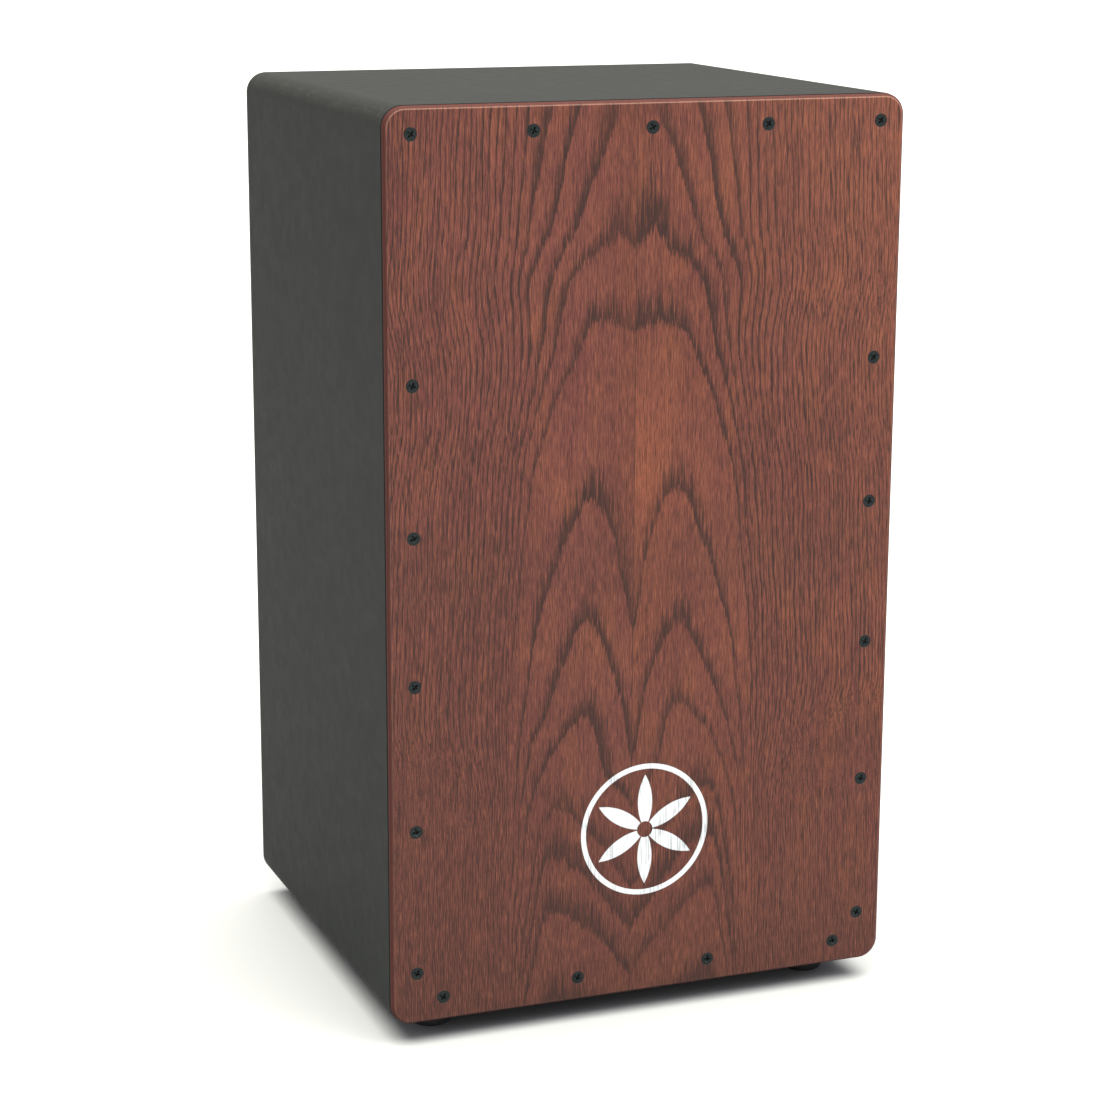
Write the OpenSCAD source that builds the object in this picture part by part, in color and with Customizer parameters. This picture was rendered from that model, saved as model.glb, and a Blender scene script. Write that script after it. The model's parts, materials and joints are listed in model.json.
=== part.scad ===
/* [Box] */
// Width of the box, across the playing face
box_w = 280; // [230:1:340]
// Depth of the box, from the playing face to the back panel's outer face
box_d = 250; // [205:1:305]
// Height of the box, without its feet
box_h = 470; // [390:1:570]
// Thickness of the top, bottom and side panels
panel_t = 9; // [7.5:0.1:11]
// Radius of the four long edges that run front to back
corner_r = 11; // [9:0.1:14]
// How far the panels' front edges are eased behind the playing plate
ease_in = 0.5; // [0.2:0.1:1]
// How deep that easing runs from front to back
ease_deep = 0.8; // [0.4:0.1:1.5]

/* [Playing plate] */
// Thickness of the plywood core
core_t = 2.8; // [2.3:0.1:3.6]
// Thickness of the face veneer
veneer_t = 0.6; // [0.4:0.1:0.8]
// Radius of the round-over along the plate's front edge
plate_edge_r = 2.2; // [1.5:0.1:2.8]
// How much smaller than the box the plate is, all round
plate_inset = 0.3; // [0:0.1:1]
// Place of the joint between the two veneer leaves, from the middle
seam_x = -8; // [-20:0.5:-6]

/* [Back panel] */
// Thickness of the back panel
back_t = 5; // [4:0.1:7]
// Radius of the round-over along the back panel's outer edge
back_edge_r = 2; // [1:0.1:2.5]
// Radius of the sound hole
hole_r = 57.5; // [45:0.5:70]
// Distance from the top of the box down to the middle of the sound hole
hole_drop = 160; // [120:1:195]

/* [Battens] */
// Width of a batten, measured away from its panel
batten_w = 15; // [12:0.5:19]
// Depth of a batten, from front to back
batten_d = 15; // [12:0.5:19]

/* [Plate screws] */
// Radius of the countersunk head
screw_head_r = 3.5; // [2.8:0.1:4.2]
// Radius of the shank
screw_r = 1.6; // [1.3:0.1:1.9]
// Wood left between a screw's tip and the batten's back
screw_tip_wood = 2.4; // [1.5:0.1:5]
// Gap between a screw and the hole that it sits in
screw_gap = 0.05; // [0.02:0.01:0.1]
// Side screws' distance into the batten, from the side panel's inner face
side_screw_in = 4.8; // [4:0.1:6]
// Top screws' distance into the batten, from the top panel's inner face
top_screw_in = 4.7; // [4:0.1:6]
// Bottom screws' distance into the batten, from the bottom panel's inner face
bottom_screw_in = 3.9; // [3.3:0.1:6]
// Number of screws along the top
top_screws = 5; // [3:1:7]
// Number of screws along the bottom
bottom_screws = 4; // [2:1:6]
// Number of screws down each side
side_screws = 5; // [3:1:5]
// Distance from one side screw to the next
side_pitch = 76.6; // [60:0.1:92]
// Height of the lowest side screw above the bottom batten
side_start = 3.7; // [3:0.1:6]
// Distance of the bottom row's end screws from the side battens
bottom_end = 4; // [3:0.1:8]

/* [Feet] */
// Height of a foot
foot_h = 12; // [10:0.5:15]
// Radius of a foot where it meets the bottom panel
foot_r = 12.5; // [11.5:0.1:15]
// Radius of a foot at the floor
foot_tip_r = 10.8; // [9.5:0.1:11.5]
// Distance of a foot's middle from the front, back and side faces
foot_inset = 31; // [28:0.5:40]
// Radius of the recess under a foot
foot_recess_r = 6; // [5.8:0.1:7.2]
// Depth of that recess
foot_recess_h = 5.5; // [4.6:0.1:6.6]
// Radius of the foot screw's shank
foot_screw_r = 2; // [1.7:0.1:2.4]
// Wood left between the foot screw's tip and the bottom panel's inner face
foot_screw_wood = 2.5; // [1.5:0.1:5]
// Radius of the foot screw's pan head
foot_head_r = 3.8; // [3.2:0.1:4.6]
// Height of that head
foot_head_h = 2.6; // [2:0.1:3.2]
// Gap between the washer and the recess round it
washer_gap = 0.6; // [0.3:0.1:1]
// Thickness of that washer
washer_t = 1; // [0.8:0.1:1.2]

/* [Snare pivot] */
// Distance from the top of the box down to the pivot
pivot_drop = 170; // [140:1:205]
// Distance from the plate's inner face back to the pivot
pivot_back = 25; // [20.5:0.5:30]
// Radius of a pivot pin
pin_r = 3; // [2.5:0.1:3.6]
// Radial clearance of a pin in its bracket
pin_fit = 0.05; // [0.02:0.01:0.1]
// Radial clearance of a pin in the bar
pin_snug = 0.01; // [0.01:0.01:0.05]
// Wood left between a pin's bore and the side panel
bore_wood = 2; // [1.5:0.1:3]
// Gap between a pin's end and the bottom of its bore
pin_end_gap = 1; // [0.5:0.1:2]
// Length of pin inside the bar
pin_in = 20; // [16:0.5:24]
// How much thinner than a batten's width a bracket is
bracket_step = 1; // [0.8:0.1:1.2]
// Depth of a bracket, from front to back
bracket_d = 30; // [25:0.5:36]
// Height of a bracket
bracket_h = 46; // [42:0.5:56]
// Distance of the bracket screws above and below the pivot
bracket_screw_z = 15; // [12.5:0.5:18]
// Wood left between a bracket screw's tip and the side panel's outer face
bracket_screw_wood = 3; // [2:0.1:5]
// Gap between the bar's end and its bracket
end_gap = 1.6; // [1.4:0.1:2]
// Play between the pivot washer in that gap and the bracket
pivot_play = 0.4; // [0.3:0.1:0.5]
// How much smaller than half the bar's thickness the pivot washer's radius is
pivot_washer_step = 0.5; // [0.4:0.1:1.5]

/* [Snare] */
// Height of the snare bar's section
bar_h = 24; // [22:0.5:29]
// Thickness of the snare bar's section
bar_t = 12; // [12:0.5:14.5]
// Radius of the bar's long edges
bar_edge_r = 2; // [1:0.1:3]
// Distance of each snare set's middle from the middle of the bar
set_x = 60; // [40:0.5:75]
// Number of wires in a set
set_wires = 10; // [6:1:12]
// Distance from one wire to the next
wire_pitch = 3.6; // [3:0.1:4.3]
// Outer radius of a coiled wire
wire_r = 0.95; // [0.8:0.05:1.15]
// Length of a wire
wire_len = 110; // [90:1:132]
// Gap between the wires' tips and the playing plate
wire_gap = 0.3; // [0.3:0.1:1]
// Height of a snare plate
snare_plate_h = 17; // [14:0.5:20.5]
// Thickness of a snare plate
snare_plate_t = 1; // [0.8:0.1:1.2]
// How far a snare plate reaches past its outer wires
snare_plate_side = 4; // [3:0.5:5]
// Radius of the small screws' shank
small_screw_r = 1.4; // [1.2:0.1:1.6]
// Radius of the small screws' pan head
small_head_r = 2.6; // [2.2:0.1:3]
// Height of that head
small_head_h = 1.4; // [1.2:0.1:1.7]
// Length of the small screws' shank
small_screw_len = 7; // [6:0.5:8]
// Distance of a plate screw from the middle of its set
plate_screw_x = 11; // [8:0.5:13]
// Distance of a plate screw below the pivot
plate_screw_drop = 4.5; // [4:0.1:5.4]

/* [Lever] */
// Width of the lever
lever_w = 20; // [17:0.5:24]
// Reach of the lever behind the bar
lever_len = 62; // [50:1:75]
// Thickness of the lever's steel
lever_t = 2; // [1.6:0.1:2.4]
// Height of the lever's foot on the bar
lever_foot_h = 20; // [17:0.5:22]
// Distance of the lever screws from the lever's middle
lever_screw_x = 5; // [4:0.5:6]

/* [Hidden] */
$fn = 64;
$fa = 4;

// Finishes
lacquer = [0.20, 0.21, 0.21];
veneer_brown = [0.43, 0.22, 0.17];
ply = [0.80, 0.68, 0.50];
pine = [0.84, 0.70, 0.48];
beech = [0.80, 0.62, 0.44];
black_steel = [0.08, 0.08, 0.09];
steel = [0.70, 0.71, 0.73];
nylon = [0.90, 0.90, 0.86];
rubber = [0.07, 0.07, 0.08];

// Left and right, or back and front, or bottom and top
low = -1;
high = 1;
// How far a cutting shape runs past what it cuts
over = 1;

// Places along the depth: the front is at low y
plate_t = core_t + veneer_t;
front_y = -box_d / 2;
veneer_back_y = front_y + veneer_t;
shell_front_y = front_y + plate_t;
back_y = box_d / 2;
shell_back_y = back_y - back_t;
front_batten_back_y = shell_front_y + batten_d;
back_batten_front_y = shell_back_y - batten_d;
// Places along the height: the floor is at zero
box_z = foot_h;
mid_z = box_z + box_h / 2;
top_z = box_z + box_h;
// Half sizes of the space between the panels, and between the battens
room_x = box_w / 2 - panel_t;
room_z = box_h / 2 - panel_t;
clear_x = room_x - batten_w;
clear_z = room_z - batten_w;
screw_len = plate_t + batten_d - screw_tip_wood;

// Plate screws, as [x, z] places
plate_screw_x_side = room_x - side_screw_in;
top_row_z = mid_z + room_z - top_screw_in;
bottom_row_z = mid_z - room_z + bottom_screw_in;
side_low_z = mid_z - clear_z + side_start;
function row(x_end, z, count) = [for (i = [0 : count - 1]) [x_end * (2 * i / (count - 1) - 1), z]];
function column(side) =
    [for (i = [0 : side_screws - 1]) [side * plate_screw_x_side, side_low_z + i * side_pitch]];
top_row = row(plate_screw_x_side, top_row_z, top_screws);
bottom_row = row(clear_x - bottom_end, bottom_row_z, bottom_screws);
all_plate_screws = concat(top_row, bottom_row, column(low), column(high));

// Feet, as [side, end] pairs
foot_corners = [[low, low], [high, low], [low, high], [high, high]];
foot_x = box_w / 2 - foot_inset;
foot_y = box_d / 2 - foot_inset;
foot_chamfer = 1.2;
washer_r = foot_recess_r - washer_gap;
washer_z = foot_recess_h - washer_t;
foot_screw_len = foot_h - washer_z + panel_t - foot_screw_wood;

// Snare, in its own frame: the pivot is the origin and the wires stand upright
pivot_y = shell_front_y + pivot_back;
pivot_z = top_z - pivot_drop;
bracket_y = front_batten_back_y + bracket_d / 2;
bracket_t = batten_w - bracket_step;
bracket_screw_len = bracket_t + panel_t - bracket_screw_wood;
bar_half = room_x - bracket_t - end_gap;
bore_deep = bracket_t - bore_wood;
pin_out = bore_deep - pin_end_gap;
pivot_washer_t = end_gap - pivot_play;
pivot_washer_r = bar_t / 2 - pivot_washer_step;
wire_y = -(bar_t / 2 + snare_plate_t + wire_r);
wire_front = bar_t / 2 + snare_plate_t + 2 * wire_r;
wire_swing = sqrt(pow(wire_front, 2) + pow(wire_len, 2));
// The lean that brings the wires' tips up to the playing plate
rest_lean = asin((pivot_back - wire_gap) / wire_swing) - atan2(wire_front, wire_len);
snare_plate_w = (set_wires - 1) * wire_pitch + 2 * snare_plate_side;

// Draws a flat shape upright, from y0 backwards by deep
module upright(y0, deep) {
    translate([0, y0 + deep, mid_z]) rotate([90, 0, 0]) linear_extrude(deep) children();
}

// Rounded rectangle about the origin
module round_rect(w, h, r) {
    square([w - 2 * r, h], center = true);
    square([w, h - 2 * r], center = true);
    for (x = [low, high], y = [low, high]) translate([x * (w / 2 - r), y * (h / 2 - r)]) circle(r);
}

// Quarter of a disc, in the corner of the first quadrant
module quarter_disc(r) {
    intersection() {
        circle(r);
        square(r);
    }
}

// Plate about the origin, w by h, from z = 0 up to t, with its upper edge rounded over by edge_r
module round_over_plate(w, h, r, t, edge_r) {
    linear_extrude(t - edge_r) round_rect(w, h, r);
    translate([0, 0, t - edge_r]) {
        linear_extrude(edge_r) round_rect(w - 2 * edge_r, h - 2 * edge_r, r - edge_r);
        for (turn = [0, 180]) rotate(turn) {
            over_edge(w / 2 - edge_r, h - 2 * r, edge_r);
            rotate(90) over_edge(h / 2 - edge_r, w - 2 * r, edge_r);
        }
        for (x = [low, high], y = [low, high])
            translate([x * (w / 2 - r), y * (h / 2 - r)])
                rotate(x * y > 0 ? (x > 0 ? 0 : 180) : (x > 0 ? -90 : 90))
                    rotate_extrude(angle = 90) translate([r - edge_r, 0]) quarter_disc(edge_r);
    }
}

// Straight stretch of that round-over, along y at x = out
module over_edge(out, long, edge_r) {
    translate([out, long / 2, 0]) rotate([90, 0, 0]) linear_extrude(long) quarter_disc(edge_r);
}

// One wall of the box: the ring's part between two mitres, with its front edge eased
module wall(side_on, side) {
    half = side_on ? [box_w / 2, box_h / 2] : [box_h / 2, box_w / 2];
    turn = side_on ? (side > 0 ? 0 : 180) : (side > 0 ? 90 : -90);
    upright(shell_front_y + ease_deep, shell_back_y - shell_front_y - ease_deep)
        wall_section(half, turn, 0);
    upright(shell_front_y, ease_deep) wall_section(half, turn, ease_in);
}

// Section of a wall whose outline is drawn in by inset
module wall_section(half, turn, inset) {
    intersection() {
        difference() {
            round_rect(box_w - 2 * inset, box_h - 2 * inset, corner_r - inset);
            square([2 * room_x, 2 * room_z], center = true);
        }
        rotate(turn) polygon([
            [half[0] - panel_t, half[1] - panel_t],
            [half[0] + over, half[1] + over],
            [half[0] + over, -half[1] - over],
            [half[0] - panel_t, -half[1] + panel_t]
        ]);
    }
}

// Countersunk screw along +y with its head's face at y = 0, made larger all round by gap
module flat_screw(head_r, shank_r, long, gap = 0) {
    rotate([-90, 0, 0]) {
        cylinder(h = head_r - shank_r, r1 = head_r + gap, r2 = shank_r + gap);
        cylinder(h = long, r = shank_r + gap);
    }
}

// Room for a countersunk screw, open at its head
module flat_screw_room(head_r, shank_r, long) {
    flat_screw(head_r, shank_r, long + screw_gap, screw_gap);
    rotate([90, 0, 0]) cylinder(h = over, r = head_r + screw_gap);
}

// Cross recess in a head's face, cut along +y
module cross_recess(reach, wide, deep) {
    for (turn = [0, 90]) rotate([0, turn, 0])
        translate([-reach, -over, -wide / 2]) cube([2 * reach, deep + over, wide]);
}

// Pan-head screw along +y: its head stands in front of y = 0
module pan_screw(head_r, head_h, shank_r, long) {
    difference() {
        union() {
            rotate([90, 0, 0]) cylinder(h = head_h, r = head_r);
            rotate([-90, 0, 0]) cylinder(h = long, r = shank_r);
        }
        translate([0, -head_h, 0]) cross_recess(head_r * 0.55, head_r * 0.25, head_h * 0.6);
    }
}

// Hole for a shank along +y
module shank_hole(shank_r, long) {
    translate([0, -over, 0]) rotate([-90, 0, 0]) cylinder(h = long + over, r = shank_r + screw_gap);
}

module at_plate_screws(places) {
    for (p = places) translate([p[0], front_y, p[1]]) children();
}

module at_feet() {
    for (c = foot_corners) translate([c[0] * foot_x, c[1] * foot_y, 0]) children();
}

// Places of the two screws of the bracket on one side, each with +y turned towards its panel
module at_bracket_screws(side) {
    for (z = [low, high])
        translate([side * (room_x - bracket_t), bracket_y, pivot_z + z * bracket_screw_z])
            rotate([0, 0, side * -90]) children();
}

// Turns what is drawn in the snare's own frame to its rest place
module at_rest() {
    translate([0, pivot_y, pivot_z]) rotate([rest_lean, 0, 0]) children();
}

module top_panel() {
    color(lacquer) wall(false, high);
}

module bottom_panel() {
    color(lacquer) difference() {
        wall(false, low);
        at_feet() translate([0, 0, washer_z])
            cylinder(h = foot_screw_len + screw_gap, r = foot_screw_r + screw_gap);
    }
}

module side_panel(side) {
    color(lacquer) difference() {
        wall(true, side);
        at_bracket_screws(side) shank_hole(screw_r, bracket_screw_len + screw_gap);
    }
}

module back_panel() {
    color(lacquer) difference() {
        translate([0, shell_back_y, mid_z]) rotate([-90, 0, 0])
            round_over_plate(box_w, box_h, corner_r, back_t, back_edge_r);
        translate([0, shell_back_y - over, top_z - hole_drop]) rotate([-90, 0, 0])
            cylinder(h = back_t + 2 * over, r = hole_r, $fn = 128);
    }
}

// Batten across the box, against the top or the bottom panel
module cross_batten(y0, level) {
    translate([-room_x, y0, mid_z + (level > 0 ? clear_z : -room_z)]) cube([2 * room_x, batten_d, batten_w]);
}

// Batten up the side of the box, between the cross battens
module side_batten(y0, side) {
    translate([side > 0 ? clear_x : -room_x, y0, mid_z - clear_z]) cube([batten_w, batten_d, 2 * clear_z]);
}

// Front batten with its plate screws' holes
module drilled_batten(places) {
    color(pine) difference() {
        children();
        at_plate_screws(places) shank_hole(screw_r, screw_len + screw_gap);
    }
}

module corner_block(side, level) {
    color(pine) translate([
        side > 0 ? clear_x : -room_x,
        front_batten_back_y,
        mid_z + (level > 0 ? clear_z : -room_z)
    ]) cube([batten_w, back_batten_front_y - front_batten_back_y, batten_w]);
}

// The playing plate as one block, before it is split into core and leaves
module tapa_blank() {
    translate([0, shell_front_y, mid_z]) rotate([90, 0, 0])
        round_over_plate(
            box_w - 2 * plate_inset, box_h - 2 * plate_inset,
            corner_r - plate_inset, plate_t, plate_edge_r
        );
}

// Everything between two depths and two widths, over the full height
module slice(x0, x1, y0, y1) {
    translate([x0, y0, box_z - over]) cube([x1 - x0, y1 - y0, box_h + 2 * over]);
}

module tapa_layer(x0, x1, y0, y1) {
    difference() {
        intersection() {
            tapa_blank();
            slice(x0, x1, y0, y1);
        }
        at_plate_screws(all_plate_screws) flat_screw_room(screw_head_r, screw_r, screw_len);
    }
}

module tapa_core() {
    color(ply) tapa_layer(-box_w / 2, box_w / 2, veneer_back_y, shell_front_y + over);
}

module tapa_veneer(side) {
    color(veneer_brown) tapa_layer(
        side > 0 ? seam_x : -box_w / 2, side > 0 ? box_w / 2 : seam_x,
        front_y - over, veneer_back_y
    );
}

module tapa_screws() {
    color(black_steel) at_plate_screws(all_plate_screws) difference() {
        flat_screw(screw_head_r, screw_r, screw_len);
        cross_recess(screw_head_r * 0.55, screw_head_r * 0.22, screw_head_r * 0.35);
    }
}

module foot(side, end) {
    color(rubber) translate([side * foot_x, end * foot_y, 0]) rotate_extrude() polygon([
        [foot_recess_r, 0],
        [foot_tip_r - foot_chamfer, 0],
        [foot_tip_r, foot_chamfer],
        [foot_r, foot_h],
        [foot_screw_r + screw_gap, foot_h],
        [foot_screw_r + screw_gap, foot_recess_h],
        [foot_recess_r, foot_recess_h]
    ]);
}

module foot_washers() {
    color(steel) at_feet() translate([0, 0, washer_z]) difference() {
        cylinder(h = washer_t, r = washer_r);
        translate([0, 0, -over]) cylinder(h = washer_t + 2 * over, r = foot_screw_r + screw_gap);
    }
}

module foot_screws() {
    color(black_steel) at_feet() translate([0, 0, washer_z]) rotate([90, 0, 0])
        pan_screw(foot_head_r, foot_head_h, foot_screw_r, foot_screw_len);
}

module snare_bracket(side) {
    color(beech) difference() {
        translate([
            side > 0 ? room_x - bracket_t : -room_x,
            front_batten_back_y,
            pivot_z - bracket_h / 2
        ]) cube([bracket_t, bracket_d, bracket_h]);
        translate([side * (room_x - bracket_t - over), pivot_y, pivot_z]) rotate([0, side * 90, 0])
            cylinder(h = bore_deep + over, r = pin_r + pin_fit);
        at_bracket_screws(side) flat_screw_room(screw_head_r, screw_r, bracket_screw_len);
    }
}

module bracket_screws() {
    color(black_steel) for (side = [low, high]) at_bracket_screws(side) difference() {
        flat_screw(screw_head_r, screw_r, bracket_screw_len);
        cross_recess(screw_head_r * 0.55, screw_head_r * 0.22, screw_head_r * 0.35);
    }
}

module snare_bar() {
    color(beech) at_rest() difference() {
        translate([-bar_half, 0, 0]) rotate([90, 0, 90])
            linear_extrude(2 * bar_half) round_rect(bar_t, bar_h, bar_edge_r);
        for (side = [low, high]) translate([side * (bar_half + over), 0, 0]) rotate([0, side * -90, 0])
            cylinder(h = pin_in + over, r = pin_r + pin_snug);
        at_plate_screw_places([low, high])
            shank_hole(small_screw_r, small_screw_len - snare_plate_t + screw_gap);
        at_lever_screws() shank_hole(small_screw_r, small_screw_len - lever_t + screw_gap);
    }
}

module pivot_pin(side) {
    color(steel) at_rest() translate([side * (bar_half - pin_in), 0, 0]) rotate([0, side * 90, 0])
        cylinder(h = pin_in + end_gap + pin_out, r = pin_r);
}

module pivot_washers() {
    color(nylon) at_rest() for (side = [low, high]) translate([side * bar_half, 0, 0])
        rotate([0, side * 90, 0]) difference() {
            cylinder(h = pivot_washer_t, r = pivot_washer_r);
            translate([0, 0, -over]) cylinder(h = pivot_washer_t + 2 * over, r = pin_r + screw_gap);
        }
}

// Places of the plate screws on the bar's front face, with +y into the bar
module at_plate_screw_places(sides) {
    for (side = sides, x = [low, high])
        translate([side * set_x + x * plate_screw_x, -bar_t / 2, -plate_screw_drop]) children();
}

// Places of the lever screws on the bar's back face, with +y into the bar
module at_lever_screws() {
    for (x = [low, high]) translate([x * lever_screw_x, bar_t / 2, -plate_screw_drop]) rotate(180) children();
}

module snare_plate(side) {
    color(steel) at_rest() difference() {
        translate([side * set_x - snare_plate_w / 2, -bar_t / 2 - snare_plate_t, -snare_plate_h / 2])
            cube([snare_plate_w, snare_plate_t, snare_plate_h]);
        at_plate_screw_places([side]) translate([0, -snare_plate_t, 0])
            shank_hole(small_screw_r, snare_plate_t + over);
    }
}

module snare_wires(side) {
    color(steel) at_rest() for (i = [0 : set_wires - 1])
        translate([side * set_x + (i - (set_wires - 1) / 2) * wire_pitch, wire_y, 0])
            cylinder(h = wire_len, r = wire_r, $fn = 24);
}

module plate_screws() {
    color(black_steel) at_rest() at_plate_screw_places([low, high]) translate([0, -snare_plate_t, 0])
        pan_screw(small_head_r, small_head_h, small_screw_r, small_screw_len);
}

module snare_lever() {
    color(steel) at_rest() translate([0, bar_t / 2, 0]) {
        difference() {
            translate([-lever_w / 2, 0, -lever_foot_h / 2]) cube([lever_w, lever_t, lever_foot_h]);
            translate([0, -bar_t / 2, 0]) at_lever_screws() translate([0, -lever_t, 0])
                shank_hole(small_screw_r, lever_t + over);
        }
        translate([0, 0, lever_foot_h / 2 - lever_t]) linear_extrude(lever_t) {
            translate([-lever_w / 2, 0]) square([lever_w, lever_len - lever_w / 2]);
            translate([0, lever_len - lever_w / 2]) circle(lever_w / 2);
        }
    }
}

module lever_screws() {
    color(black_steel) at_rest() at_lever_screws() translate([0, -lever_t, 0])
        pan_screw(small_head_r, small_head_h, small_screw_r, small_screw_len);
}

top_panel();
bottom_panel();
side_panel(low);  // left_panel
side_panel(high);  // right_panel
back_panel();
drilled_batten(top_row) cross_batten(shell_front_y, high);  // front_top_batten
drilled_batten(bottom_row) cross_batten(shell_front_y, low);  // front_bottom_batten
drilled_batten(column(low)) side_batten(shell_front_y, low);  // front_left_batten
drilled_batten(column(high)) side_batten(shell_front_y, high);  // front_right_batten
color(pine) cross_batten(back_batten_front_y, high);  // back_top_batten
color(pine) cross_batten(back_batten_front_y, low);  // back_bottom_batten
color(pine) side_batten(back_batten_front_y, low);  // back_left_batten
color(pine) side_batten(back_batten_front_y, high);  // back_right_batten
corner_block(low, high);  // top_left_block
corner_block(high, high);  // top_right_block
corner_block(low, low);  // bottom_left_block
corner_block(high, low);  // bottom_right_block
tapa_core();
tapa_veneer(low);  // tapa_left_veneer
tapa_veneer(high);  // tapa_right_veneer
tapa_screws();
foot(low, low);  // front_left_foot
foot(high, low);  // front_right_foot
foot(low, high);  // back_left_foot
foot(high, high);  // back_right_foot
foot_washers();
foot_screws();
snare_bracket(low);  // left_snare_bracket
snare_bracket(high);  // right_snare_bracket
bracket_screws();
snare_bar();
pivot_pin(low);  // left_pivot_pin
pivot_pin(high);  // right_pivot_pin
pivot_washers();
snare_plate(low);  // left_snare_plate
snare_plate(high);  // right_snare_plate
snare_wires(low);  // left_snare_wires
snare_wires(high);  // right_snare_wires
plate_screws();
snare_lever();
lever_screws();
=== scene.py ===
"""Looks of a cajon: a lacquered box with a figured playing plate, and a snare inside that tilts on pins."""

import json
import math

import bmesh
import bpy
from mathutils import Euler, Matrix, Vector


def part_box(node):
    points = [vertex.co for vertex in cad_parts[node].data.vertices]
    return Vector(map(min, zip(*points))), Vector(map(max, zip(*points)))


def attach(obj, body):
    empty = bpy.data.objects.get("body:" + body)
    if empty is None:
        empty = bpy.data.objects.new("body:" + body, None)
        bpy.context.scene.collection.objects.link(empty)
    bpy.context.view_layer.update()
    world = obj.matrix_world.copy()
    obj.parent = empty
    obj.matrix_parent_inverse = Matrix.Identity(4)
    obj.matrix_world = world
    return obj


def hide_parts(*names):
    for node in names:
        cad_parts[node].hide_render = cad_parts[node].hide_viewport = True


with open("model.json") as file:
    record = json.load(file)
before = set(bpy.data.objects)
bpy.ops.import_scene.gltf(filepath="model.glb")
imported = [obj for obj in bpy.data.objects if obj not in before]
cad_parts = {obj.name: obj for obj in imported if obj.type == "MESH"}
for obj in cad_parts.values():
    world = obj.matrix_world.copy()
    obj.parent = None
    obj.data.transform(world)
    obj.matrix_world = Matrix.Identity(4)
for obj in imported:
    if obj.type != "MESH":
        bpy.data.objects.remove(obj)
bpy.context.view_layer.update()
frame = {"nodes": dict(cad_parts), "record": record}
NODES = frame["nodes"]
MM = 0.001

# Faces of the box that the finishes and the replaced pieces are set out from, in metres
INNER_X = -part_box("front_left_batten")[0].x
INNER_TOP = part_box("front_top_batten")[1].z
INNER_BACK_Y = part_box("back_panel")[0].y
BOX_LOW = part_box("bottom_panel")[0]
BOX_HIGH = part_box("back_panel")[1]
MIDDLE_Z = (BOX_LOW.z + BOX_HIGH.z) / 2
FRONT_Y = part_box("tapa_left_veneer")[0].y
VENEER_BACK_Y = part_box("tapa_left_veneer")[1].y
SEAM_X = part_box("tapa_left_veneer")[1].x
CORNER_R = 11.0  # of the box's long rounded edges, in millimetres


# ---------------------------------------------------------------- finishes


class Value:
    """A number that varies over a surface. Sums, products and powers of it add Math nodes."""

    def __init__(self, finish, socket):
        self.finish = finish
        self.socket = socket

    def __add__(self, other):
        return self.finish.maths("ADD", self, other)

    def __radd__(self, other):
        return self.finish.maths("ADD", other, self)

    def __sub__(self, other):
        return self.finish.maths("SUBTRACT", self, other)

    def __rsub__(self, other):
        return self.finish.maths("SUBTRACT", other, self)

    def __mul__(self, other):
        return self.finish.maths("MULTIPLY", self, other)

    def __rmul__(self, other):
        return self.finish.maths("MULTIPLY", other, self)

    def __truediv__(self, other):
        return self.finish.maths("DIVIDE", self, other)

    def __pow__(self, other):
        return self.finish.maths("POWER", self, other)


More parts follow.
